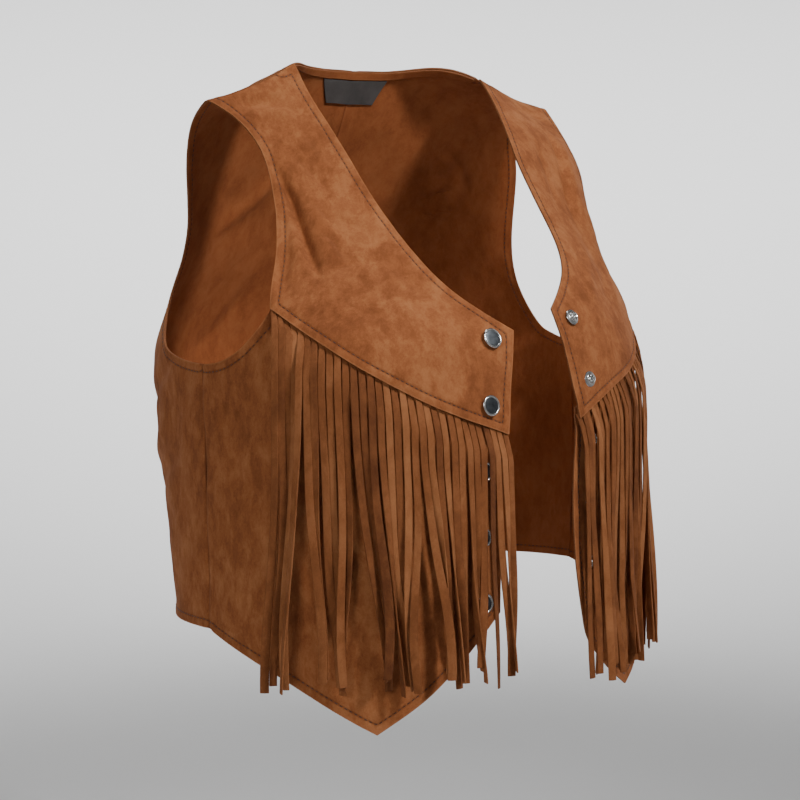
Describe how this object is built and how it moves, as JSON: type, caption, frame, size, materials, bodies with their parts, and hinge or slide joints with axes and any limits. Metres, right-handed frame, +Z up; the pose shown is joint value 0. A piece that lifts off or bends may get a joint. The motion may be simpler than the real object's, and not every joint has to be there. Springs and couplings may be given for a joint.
{
  "type": "fringe vest",
  "caption": "Open sleeveless vest with V-shaped front yokes, long cut fringe under them, a pointed front hem and snap fasteners, held in its worn shape.",
  "frame": {"origin": "midway between the two neck points, on the level of the shoulder seams, where the wearer's shoulders hold the vest", "axes": "+Z up, the open front towards -Y, +X towards the wearer's left"},
  "size_m": [0.3604, 0.3011, 0.4465],
  "materials": {
    "suede": "brushed suede nap",
    "suede_fringe": "brushed suede nap with cut edges",
    "satin_label": "plain satin weave",
    "steel": "bright nickel plate",
    "dark_steel": "polished gunmetal with a bright rim"
  },
  "bodies": {
    "root": {"yoke_right": "suede", "yoke_left": "suede", "front_right": "suede", "front_left": "suede", "back_right": "suede", "back_left": "suede", "neck_facing": "suede", "neck_label": "satin_label", "fringe_right": "suede_fringe", "fringe_left": "suede_fringe", "snap_cap_1": "dark_steel", "snap_socket_1": "steel", "snap_stud_1": "steel", "stud_back_1": "steel", "snap_cap_2": "dark_steel", "snap_socket_2": "steel", "snap_stud_2": "steel", "stud_back_2": "steel", "snap_cap_3": "dark_steel", "snap_socket_3": "steel", "snap_stud_3": "steel", "stud_back_3": "steel", "snap_cap_4": "dark_steel", "snap_socket_4": "steel", "snap_stud_4": "steel", "stud_back_4": "steel", "snap_cap_5": "dark_steel", "snap_socket_5": "steel", "snap_stud_5": "steel", "stud_back_5": "steel"}
  },
  "joints": []
}
